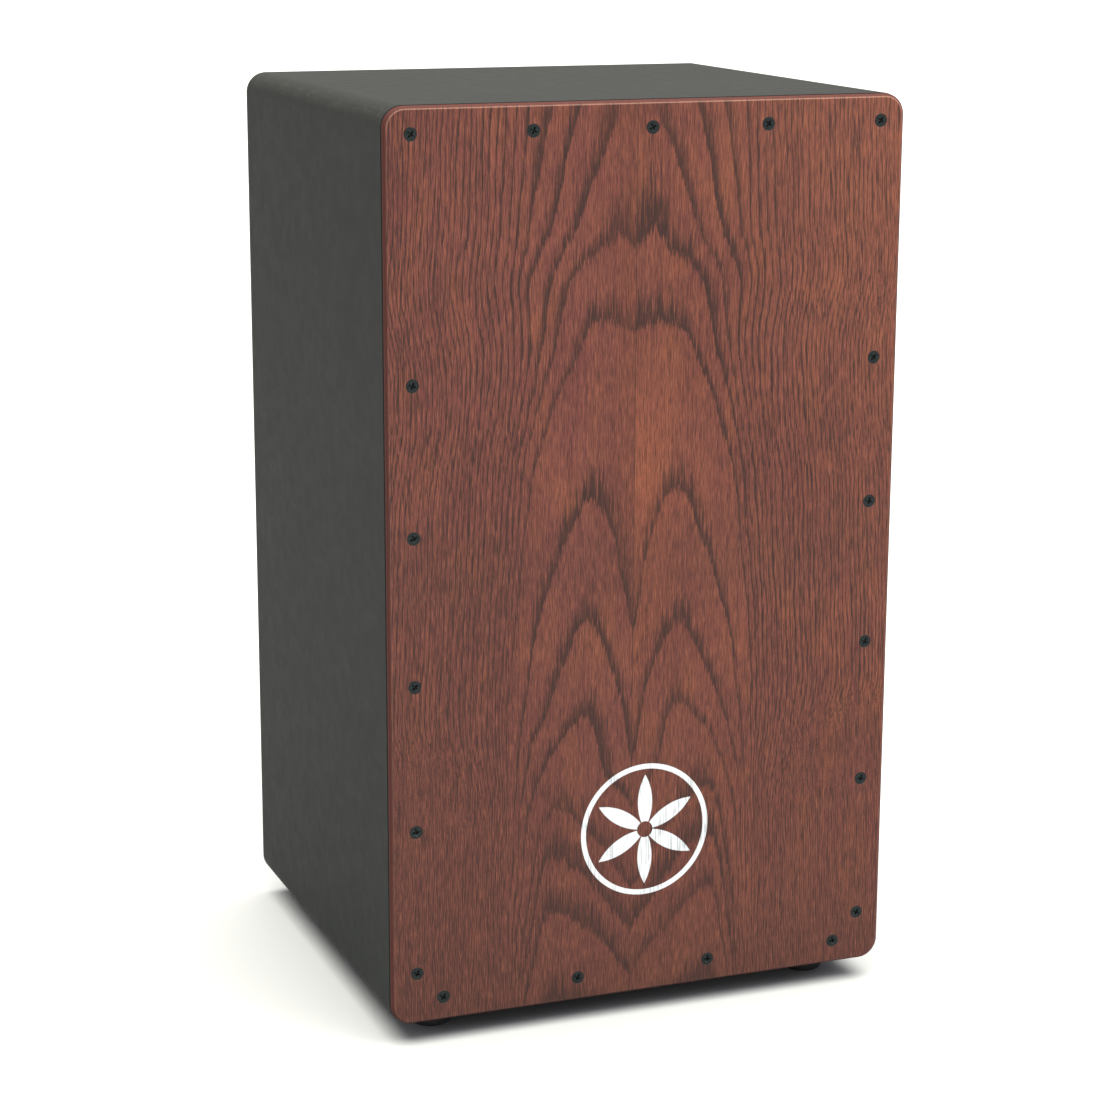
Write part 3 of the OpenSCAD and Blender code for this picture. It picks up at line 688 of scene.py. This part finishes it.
def cut_cross(shape, name, reach, wide, deep):
    """Cuts a tapered cross recess into the face at z = 0, down to deep, and breaks its rims."""
    plus = [
        (reach, -wide), (reach, wide), (wide, wide), (wide, reach), (-wide, reach), (-wide, wide),
        (-reach, wide), (-reach, -wide), (-wide, -wide), (-wide, -reach), (wide, -reach), (wide, -wide),
    ]
    cutter = bmesh.new()
    levels = ((1.12, -0.15 * deep), (1.0, 0.0), (0.62, deep))
    loops = [[cutter.verts.new((x * s * MM, y * s * MM, z * MM)) for x, y in plus] for s, z in levels]
    for low, high in zip(loops, loops[1:]):
        for step in range(12):
            after = (step + 1) % 12
            cutter.faces.new((low[step], low[after], high[after], high[step]))
    cutter.faces.new(loops[0])
    cutter.faces.new(loops[-1])
    bmesh.ops.recalc_face_normals(cutter, faces=cutter.faces)
    cutting = bpy.data.objects.new(name + "_cutter", as_mesh(name + "_cutter", cutter))
    blank = bpy.data.objects.new(name + "_blank", as_mesh(name + "_blank", shape))
    for thing in (cutting, blank):
        bpy.context.scene.collection.objects.link(thing)
    cut = blank.modifiers.new("cross", "BOOLEAN")
    cut.operation = "DIFFERENCE"
    cut.solver = "EXACT"
    cut.object = cutting
    rims = blank.modifiers.new("rims", "BEVEL")
    rims.width = 0.07 * MM
    rims.segments = 2
    rims.angle_limit = math.radians(42)
    mesh = bpy.data.meshes.new_from_object(blank.evaluated_get(bpy.context.evaluated_depsgraph_get()))
    bpy.data.objects.remove(blank)
    bpy.data.objects.remove(cutting)
    smooth(mesh, 40)
    head = bpy.data.objects.new(name, mesh)
    bpy.context.scene.collection.objects.link(head)
    return head


class Growth:
    """A tree of Geometry Nodes with named inputs, ending in Realize Instances and Set Material."""

    def __init__(self, name):
        self.tree = bpy.data.node_groups.new(name, "GeometryNodeTree")
        self.tree.is_modifier = True
        self.tree.interface.new_socket("Geometry", in_out="INPUT", socket_type="NodeSocketGeometry")
        self.tree.interface.new_socket("Geometry", in_out="OUTPUT", socket_type="NodeSocketGeometry")
        self.given = self.tree.nodes.new("NodeGroupInput")
        self.keys = {}

    def named(self, name, kind, default=None):
        """A named input of the tree, of kind Float, Int, Object or Material."""
        socket = self.tree.interface.new_socket(name, in_out="INPUT", socket_type="NodeSocket" + kind)
        if default is not None:
            socket.default_value = default
        self.keys[name] = socket.identifier
        return self.given.outputs[name]

    def add(self, kind, settings, sockets, out=0):
        node = self.tree.nodes.new(kind)
        for name, value in settings.items():
            setattr(node, name, value)
        for name, value in sockets.items():
            if isinstance(value, bpy.types.NodeSocket):
                self.tree.links.new(value, node.inputs[name])
            else:
                node.inputs[name].default_value = value
        return node.outputs[out]

    def reckon(self, operation, a, b):
        return self.add("ShaderNodeMath", {"operation": operation}, {0: a, 1: b})

    def spiral(self, turns, radius, height, around):
        """A helix along z, with a number of points round each turn."""
        return self.add("GeometryNodeCurveSpiral", {}, {
            "Resolution": around, "Rotations": turns, "Start Radius": radius, "End Radius": radius,
            "Height": height,
        })

    def swept(self, curve, profile):
        return self.add("GeometryNodeCurveToMesh", {}, {
            "Curve": curve, "Profile Curve": profile, "Fill Caps": True,
        })

    def facing(self):
        """The way that each point's stored turn faces."""
        turn = self.add("GeometryNodeInputNamedAttribute", {"data_type": "FLOAT_VECTOR"}, {"Name": "turn"})
        return self.add("FunctionNodeEulerToRotation", {}, {"Euler": turn})

    def on_points(self, shape, facing):
        return self.add("GeometryNodeInstanceOnPoints", {}, {
            "Points": self.given.outputs[0], "Instance": shape, "Rotation": facing,
        })

    def end(self, geometry, material):
        whole = self.add("GeometryNodeRealizeInstances", {}, {"Geometry": geometry})
        dressed = self.add("GeometryNodeSetMaterial", {}, {"Geometry": whole, "Material": material})
        self.tree.links.new(dressed, self.tree.nodes.new("NodeGroupOutput").inputs[0])

    def grow(self, name, places, values, degrees=40):
        """Grows the tree on (place, direction) points and gives the plain mesh."""
        cloud = bpy.data.meshes.new(name + "_places")
        cloud.from_pydata([place for place, _ in places], [], [])
        turn = cloud.attributes.new("turn", "FLOAT_VECTOR", "POINT")
        for spot, (_, direction) in zip(turn.data, places):
            spot.vector = direction.to_track_quat("Z", "Y").to_euler()
        host = bpy.data.objects.new(name + "_places", cloud)
        bpy.context.scene.collection.objects.link(host)
        growth = host.modifiers.new(name, "NODES")
        growth.node_group = self.tree
        for key, value in values.items():
            growth[self.keys[key]] = value
        mesh = bpy.data.meshes.new_from_object(host.evaluated_get(bpy.context.evaluated_depsgraph_get()))
        host.modifiers.remove(growth)
        bpy.data.objects.remove(host)
        mesh.name = name
        smooth(mesh, degrees)
        return mesh


def screw_tree():
    """A screw on each point: its head, and a thread wound on a core that ends in a point."""
    tree = Growth("screws")
    head = tree.named("Head", "Object")
    material = tree.named("Material", "Material")
    outer = tree.named("Thread radius", "Float", 0.0016)
    core = tree.named("Core radius", "Float", 0.0011)
    start = tree.named("Thread start", "Float", 0.002)
    long = tree.named("Thread length", "Float", 0.01)
    pitch = tree.named("Thread pitch", "Float", 0.0012)
    seed = tree.named("Seed", "Int", 1)
    shown = tree.add("GeometryNodeObjectInfo", {}, {"Object": head}, "Geometry")
    spiral = tree.spiral(tree.reckon("DIVIDE", long, pitch), core, long, 14)
    deep = tree.reckon("SUBTRACT", outer, core)
    profile = tree.add("GeometryNodeCurvePrimitiveCircle", {}, {"Resolution": 3, "Radius": deep})
    ridge = tree.swept(spiral, profile)
    lift = tree.add("ShaderNodeCombineXYZ", {}, {"Z": start})
    thread = tree.add("GeometryNodeTransform", {}, {"Geometry": ridge, "Translation": lift})
    joined = tree.tree.nodes.new("GeometryNodeJoinGeometry")
    for part in (shown, thread):
        tree.tree.links.new(part, joined.inputs[0])
    luck = tree.add("FunctionNodeRandomValue", {"data_type": "FLOAT"}, {2: 0.0, 3: math.pi, "Seed": seed}, 1)
    spin = tree.add("ShaderNodeCombineXYZ", {}, {"Z": luck})
    spin = tree.add("FunctionNodeEulerToRotation", {}, {"Euler": spin})
    facing = tree.add(
        "FunctionNodeRotateRotation",
        {"rotation_space": "LOCAL"},
        {"Rotation": tree.facing(), "Rotate By": spin},
    )
    tree.end(tree.on_points(joined.outputs[0], facing), material)
    return tree


def coil_tree():
    """A coiled wire on each point, in the point's direction."""
    tree = Growth("snare_coils")
    material = tree.named("Material", "Material")
    coil = tree.named("Coil radius", "Float", 0.0007)
    wire = tree.named("Wire radius", "Float", 0.00022)
    pitch = tree.named("Coil pitch", "Float", 0.0014)
    long = tree.named("Length", "Float", 0.11)
    spiral = tree.spiral(tree.reckon("DIVIDE", long, pitch), coil, long, 10)
    profile = tree.add("GeometryNodeCurvePrimitiveCircle", {}, {"Resolution": 5, "Radius": wire})
    wound = tree.swept(spiral, profile)
    tree.end(tree.on_points(wound, tree.facing()), material)
    return tree


# ---------------------------------------------------------------- box and playing plate

for node in ("top_panel", "bottom_panel"):
    dress(node, LACQUER_ACROSS)
for node in ("left_panel", "right_panel"):
    dress(node, LACQUER_UP)
dress("tapa_left_veneer", LEFT_VENEER)
dress("tapa_right_veneer", RIGHT_VENEER)
dress("tapa_core", CORE)

SOUND_HOLE = next(m for m in frame["record"]["mounts"] if m["name"] == "sound_hole")
HOLE_X, _, HOLE_Z = SOUND_HOLE["pos_m"]
HOLE_R = SOUND_HOLE["dims"]["r_mm"] * MM


def back_board():
    """Back panel with a rounded outer edge and an eased sound hole, as one set of rings through both."""
    inner_y, outer_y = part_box("back_panel")[0].y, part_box("back_panel")[1].y
    half_x, half_z = BOX_HIGH.x, (BOX_HIGH.z - BOX_LOW.z) / 2
    corner = CORNER_R * MM
    edge = 2 * MM
    ease = 0.9 * MM
    outline = []
    for middle_x, middle_z, start in ((1, 1, 0), (-1, 1, 90), (-1, -1, 180), (1, -1, 270)):
        for step in range(13):
            angle = math.radians(start + 90 * step / 12)
            outline.append((middle_x, middle_z, math.cos(angle), math.sin(angle)))

    def outer(inset):
        """The outline drawn in by inset, with its straight sides split up evenly."""
        round_r = corner - inset
        corners = [
            Vector((mx * (half_x - corner) + round_r * c, MIDDLE_Z + mz * (half_z - corner) + round_r * s))
            for mx, mz, c, s in outline
        ]
        places = []
        for index, spot in enumerate(corners):
            places.append(spot)
            if index % 13 == 12:
                after = corners[(index + 1) % len(corners)]
                places += [spot.lerp(after, step / 22) for step in range(1, 22)]
        return places

    rim = outer(0.0)
    angles = [math.atan2(spot.y - HOLE_Z, spot.x - HOLE_X) for spot in rim]

    def hole(radius):
        return [Vector((HOLE_X + radius * math.cos(a), HOLE_Z + radius * math.sin(a))) for a in angles]

    rings = [(rim, inner_y), (rim, outer_y - edge)]
    for step in range(1, 6):
        angle = math.radians(90 * step / 5)
        rings.append((outer(edge - edge * math.cos(angle)), outer_y - edge + edge * math.sin(angle)))
    for step in range(0, 4):
        angle = math.radians(90 * step / 3)
        rings.append((hole(HOLE_R + ease - ease * math.sin(angle)), outer_y - ease + ease * math.cos(angle)))
    for step in range(0, 4):
        angle = math.radians(90 * step / 3)
        rings.append((hole(HOLE_R + ease - ease * math.cos(angle)), inner_y + ease - ease * math.sin(angle)))
    shape = bmesh.new()
    loops = [[shape.verts.new((spot.x, y, spot.y)) for spot in ring] for ring, y in rings]
    count = len(rim)
    for low, high in zip(loops, loops[1:] + loops[:1]):
        for step in range(count):
            after = (step + 1) % count
            shape.faces.new((low[step], low[after], high[after], high[step]))
    bmesh.ops.recalc_face_normals(shape, faces=shape.faces)
    return as_mesh("back_board", shape, 31)


piece("back_board", back_board(), LACQUER_UP, "case", "lacquered_wood", "back_panel")

# ---------------------------------------------------------------- inner wood

for node in [name for name in NODES if name.endswith(("_batten", "_block"))]:
    if node.endswith("_block"):
        grain = "y"
    elif "left" in node or "right" in node:
        grain = "z"
    else:
        grain = "x"
    name = node.replace("_batten", "_rail").replace("_block", "_glue_block")
    eased(name, node, 0.8, PINE[grain], "case", "pine")
for side in ("left", "right"):
    eased(side + "_pivot_block", side + "_snare_bracket", 1.0, BEECH["z"], "case", "beech")

# ---------------------------------------------------------------- screws

SCREWS = screw_tree()


def countersunk_head(name, radius, shank, deep):
    """Countersunk head with a rounded rim, running into a plain core with a point."""
    rise = radius - shank
    shape = turned([
        (0, 0.0), (radius - 0.25, 0.0), (radius - 0.08, 0.05), (radius, 0.2),
        (shank + 0.15, rise), (shank * 0.72, rise + 0.4), (shank * 0.7, deep - 3.0), (0, deep),
    ], 48)
    return cut_cross(shape, name, radius * 0.56, radius * 0.12, radius * 0.38)


def pan_head(name, radius, height, shank, deep):
    """Pan head that stands above z = 0, running into a plain core with a point."""
    dome = []
    for step in range(7):
        angle = math.radians(15 * step)
        dome.append((radius * math.sin(angle) ** 0.8, height * 0.55 * (1 - math.cos(angle))))
    shape = turned(
        dome + [(radius, height - 0.1), (radius - 0.1, height), (shank * 0.72, height),
                (shank * 0.7, height + deep - 2.0), (0, height + deep)], 48
    )
    return cut_cross(shape, name, radius * 0.55, radius * 0.12, height * 0.6)


def head_first(points, guess):
    """Head-face place and direction of a screw, its head being the wider end."""
    place, axis, length = along(points, guess)

    def spread(near, far):
        return max(
            ((p - place) - axis * (p - place).dot(axis)).length
            for p in points if near <= (p - place).dot(axis) / length <= far
        )
    if spread(-0.01, 0.3) < spread(0.7, 1.01):
        place, axis = place + axis * length, -axis
    return place, axis, length


def screws(name, node, guesses, maker, body, seed, pitch, start):
    """Screws where the CAD node's are.

    guesses gives the rough direction of the one about a place. maker gives the head for a length, and its
    shank's radius. The thread's pitch and start are in millimetres.
    """
    solids = islands(node)
    found = [head_first(points, guesses(sum(points, Vector()) / len(points))) for points in solids]
    places = [(place, axis) for place, axis, _ in found]
    length = found[0][2] / MM
    head, shank = maker(length)
    mesh = SCREWS.grow(name, places, {
        "Head": head, "Material": BLACK_STEEL, "Thread radius": shank * MM, "Core radius": shank * 0.72 * MM,
        "Thread start": start * MM, "Thread length": (length - start - 1.5) * MM, "Thread pitch": pitch * MM,
        "Seed": seed,
    })
    bpy.data.objects.remove(head)
    return piece(name, mesh, BLACK_STEEL, body, "black_steel", node)


def plate_screw(length):
    return countersunk_head("plate_screw_head", 3.5, 1.6, length), 1.6


def foot_screw(length):
    return pan_head("foot_screw_head", 3.8, 2.6, 2.0, length - 2.6), 2.0


def small_screw(length):
    return pan_head("small_screw_head", 2.6, 1.4, 1.4, length - 1.4), 1.4


screws("plate_face_screws", "tapa_screws", lambda p: (0, 1, 0), plate_screw, "case", 4, 1.25, 3.4)
screws(
    "pivot_block_screws", "bracket_screws", lambda p: (math.copysign(1, p.x), 0, 0), plate_screw,
    "case", 7, 1.25, 3.4,
)
screws("foot_fixing_screws", "foot_screws", lambda p: (0, 0, 1), foot_screw, "case", 2, 1.5, 4.2)
screws("snare_plate_screws", "plate_screws", lambda p: (0, 1, 0), small_screw, "snare", 5, 0.9, 2.4)
screws("lever_fixing_screws", "lever_screws", lambda p: (0, -1, 0), small_screw, "snare", 9, 0.9, 3.0)

# ---------------------------------------------------------------- feet


def moved(mesh, place, axis=Vector((0, 0, 1))):
    """The mesh, turned from upright to an axis and carried to a place."""
    mesh.transform(Matrix.Translation(place) @ axis.to_track_quat("Z", "Y").to_matrix().to_4x4())
    return mesh


def join(name, meshes):
    shape = bmesh.new()
    for mesh in meshes:
        shape.from_mesh(mesh)
    return as_mesh(name, shape)


# Radius and height, in millimetres, round the foot's section from the top of its bore
FOOT_PROFILE = [
    (2.1, 12.0), (2.1, 5.5), (5.4, 5.5), (5.8, 5.35), (6.0, 4.9), (6.0, 0.9), (6.2, 0.35), (6.7, 0.05),
    (7.3, 0.0), (7.5, 0.25), (7.9, 0.25), (8.1, 0.0), (9.3, 0.0), (9.9, 0.1), (10.4, 0.45), (10.75, 1.0),
    (10.86, 1.6), (11.9, 8.6), (12.05, 8.9), (11.95, 9.15), (12.1, 9.4), (12.35, 11.2), (12.5, 11.5),
    (12.42, 11.9), (12.2, 12.0),
]
for side in ("front_left", "front_right", "back_left", "back_right"):
    low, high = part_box(side + "_foot")
    middle = (low + high) / 2
    foot = as_mesh(side + "_rubber_foot", turned(FOOT_PROFILE, 72), 32)
    moved(foot, Vector((middle.x, middle.y, low.z)))
    piece(side + "_rubber_foot", foot, RUBBER, "case", "rubber", side + "_foot")


def about(points, axis):
    """A turned solid's start on a known axis, then its length and radius in millimetres."""
    middle = sum(points, Vector()) / len(points)
    reach = [(point - middle).dot(axis) for point in points]
    radius = max(((point - middle) - axis * (point - middle).dot(axis)).length for point in points)
    return middle + axis * min(reach), (max(reach) - min(reach)) / MM, radius / MM


def turned_group(name, node, axis, profile, material, body, slot):
    """Turned pieces in the places of a CAD node's solids; profile(radius, length) gives their outline."""
    made = []
    for points in islands(node):
        place, length, radius = about(points, axis)
        made.append(moved(as_mesh(name, turned(profile(radius, length), 48)), place, axis))
    return piece(name, join(name, made), material, body, slot, node)


UP = Vector((0, 0, 1))
ACROSS = Vector((1, 0, 0))
turned_group(
    "foot_washer_rings", "foot_washers", UP, lambda radius, length: rounded(radius, length, 0.18, 3, 2.05),
    STEEL, "case", "steel",
)

# ---------------------------------------------------------------- snare

turned_group(
    "pivot_spacers", "pivot_washers", ACROSS, lambda radius, length: rounded(radius, length, 0.25, 3, 3.05),
    NYLON, "snare", "nylon",
)
for side in ("left", "right"):
    turned_group(
        side + "_pin", side + "_pivot_pin", ACROSS, lambda radius, length: rounded(radius, length, 0.5, 4),
        STEEL, "snare", "steel",
    )
    eased(side + "_wire_plate", side + "_snare_plate", 0.2, STEEL, "snare", "steel")
eased("wire_bar", "snare_bar", 0.5, BEECH["x"], "snare", "beech")
eased("tilt_lever", "snare_lever", 0.45, STEEL, "snare", "steel")

COILS = coil_tree()
for side in ("left", "right"):
    node = side + "_snare_wires"
    found = [along(points, (0, 0, 1)) for points in islands(node)]
    places = [(place, axis) for place, axis, _ in found]
    wound = COILS.grow(side + "_coiled_wires", places, {
        "Material": SPRING, "Coil radius": 0.71 * MM, "Wire radius": 0.22 * MM, "Coil pitch": 1.35 * MM,
        "Length": found[0][2] - 0.3 * MM,
    })
    piece(side + "_coiled_wires", wound, SPRING, "snare", "steel", node)

# ---------------------------------------------------------------- floor, light and camera


def pale_floor():
    finish = Finish("pale_floor", {"Specular IOR Level": 0.2})
    cloud = finish.noise(finish.place, 0.004, 2.0, 0.5)
    finish.colour(finish.mix(cloud, (0.357, 0.361, 0.383), (0.371, 0.375, 0.397)))
    finish.rough(finish.run(cloud, 0.3, 0.7, 0.7, 0.8))
    shape = bmesh.new()
    reach = 40.0
    around = ((-1, -1), (1, -1), (1, 1), (-1, 1))
    shape.faces.new([shape.verts.new((x * reach, y * reach, 0)) for x, y in around])
    floor = bpy.data.objects.new("floor", as_mesh("floor", shape))
    bpy.context.scene.collection.objects.link(floor)
    take_finish(floor, finish.material)


pale_floor()

# A square softbox to the right of the front, aimed a little above the middle of the box
KEY_PLACE = Vector((0.95, -1.3, 1.45))
KEY_AIM = Vector((0, 0, MIDDLE_Z + 0.12))
key = bpy.data.lights.new("key", "AREA")
key.shape = "RECTANGLE"
key.size = 0.9
key.size_y = 0.9
key.energy = 17
key_stand = bpy.data.objects.new("key", key)
bpy.context.scene.collection.objects.link(key_stand)
key_stand.location = KEY_PLACE
key_stand.rotation_euler = (KEY_AIM - KEY_PLACE).to_track_quat("-Z", "Y").to_euler()

# A broad, slightly warm glow from above lights the whole floor evenly
overhead = bpy.data.lights.new("overhead", "SUN")
overhead.energy = 11.4
overhead.angle = math.radians(75)
overhead.color = (1.0, 0.985, 0.86)
hung = bpy.data.objects.new("overhead", overhead)
bpy.context.scene.collection.objects.link(hung)
hung.rotation_euler = (math.radians(5), 0, 0)

# White walls, brighter to look at than they light the box
WALL_LIGHT = 0.6
WALL_SEEN = 1.05
world = bpy.data.worlds.new("studio")
world.use_nodes = True
backdrop = world.node_tree.nodes["Background"]
backdrop.inputs["Color"].default_value = (1.0, 1.0, 1.0, 1)
seen = world.node_tree.nodes.new("ShaderNodeLightPath")
glow = world.node_tree.nodes.new("ShaderNodeMapRange")
glow.inputs["To Min"].default_value = WALL_LIGHT
glow.inputs["To Max"].default_value = WALL_SEEN
world.node_tree.links.new(seen.outputs["Is Camera Ray"], glow.inputs["Value"])
world.node_tree.links.new(glow.outputs["Result"], backdrop.inputs["Strength"])
bpy.context.scene.world = world
bpy.context.scene.view_settings.view_transform = "Standard"

# The camera stands off its aim, turned to the right of straight ahead and looking down
AIM = Vector((-1.71, -4.57, 221.0)) * MM
TURN = math.radians(21.31)
DROP = math.radians(13.72)
ROLL = math.radians(0.25)
DISTANCE = 1547.4 * MM
camera = bpy.data.cameras.new("camera")
camera.lens = 89.9
camera.sensor_width = 36
looking = bpy.data.objects.new("camera", camera)
bpy.context.scene.collection.objects.link(looking)
ahead = Vector((math.sin(TURN) * math.cos(DROP), math.cos(TURN) * math.cos(DROP), -math.sin(DROP)))
looking.location = AIM - ahead * DISTANCE
facing = ahead.to_track_quat("-Z", "Y") @ Euler((0, 0, ROLL)).to_quaternion()
looking.rotation_euler = facing.to_euler()
bpy.context.scene.camera = looking
